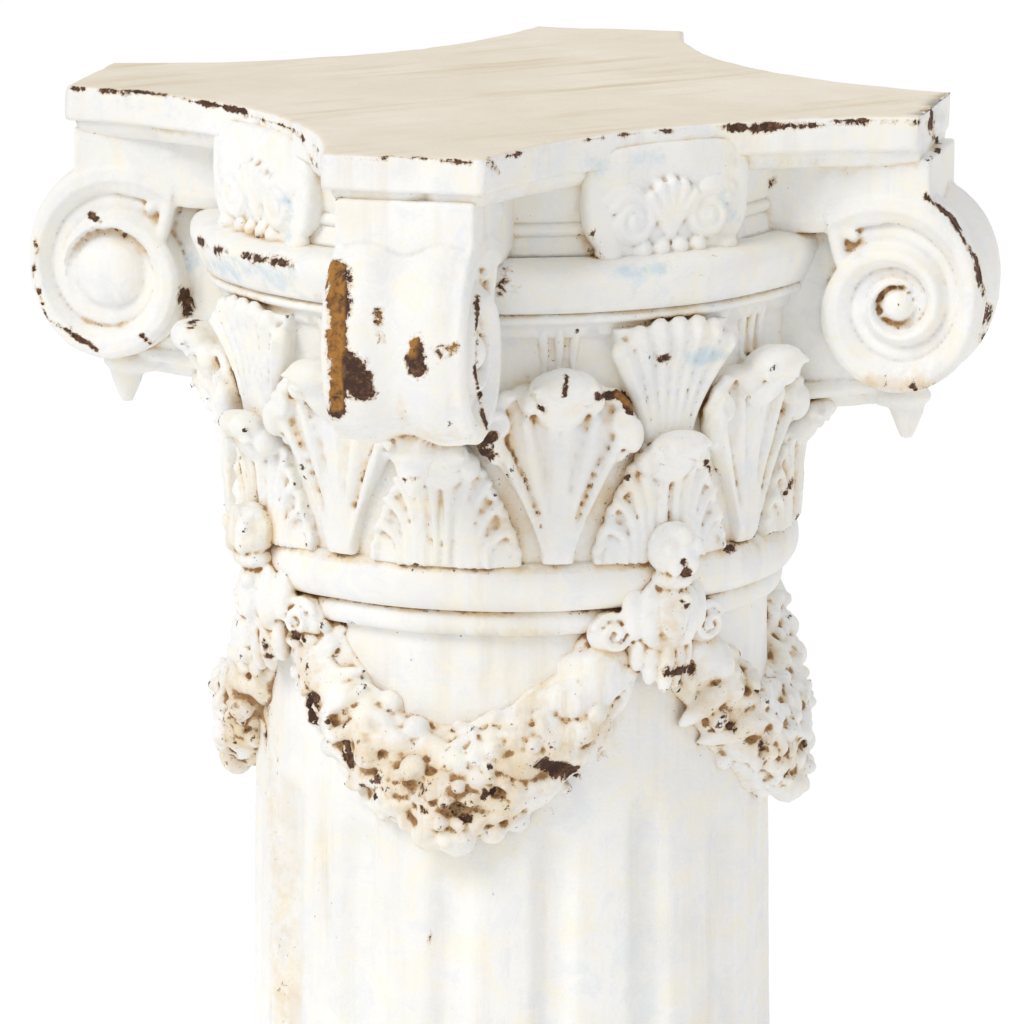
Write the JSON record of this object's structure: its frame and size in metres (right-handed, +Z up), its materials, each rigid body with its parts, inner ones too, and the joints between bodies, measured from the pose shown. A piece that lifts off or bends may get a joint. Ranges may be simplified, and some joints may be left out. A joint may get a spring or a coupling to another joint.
{
  "type": "decorative column",
  "caption": "Cast pedestal column with a composite capital of leaves, corner scrolls and fruit swags over a fluted shaft, in chipped white paint.",
  "frame": {"origin": "middle of the square plinth's underside", "axes": "+Z up the column's axis to its top; X and Y square to the plinth's and the top's four faces"},
  "size_m": [0.3676, 0.3676, 1],
  "materials": {
    "old_white_paint": "thick satin white paint over cast plaster, stained ochre in the hollows and chipped to dark brown on the edges"
  },
  "bodies": {
    "root": {"column": "old_white_paint"}
  },
  "joints": []
}
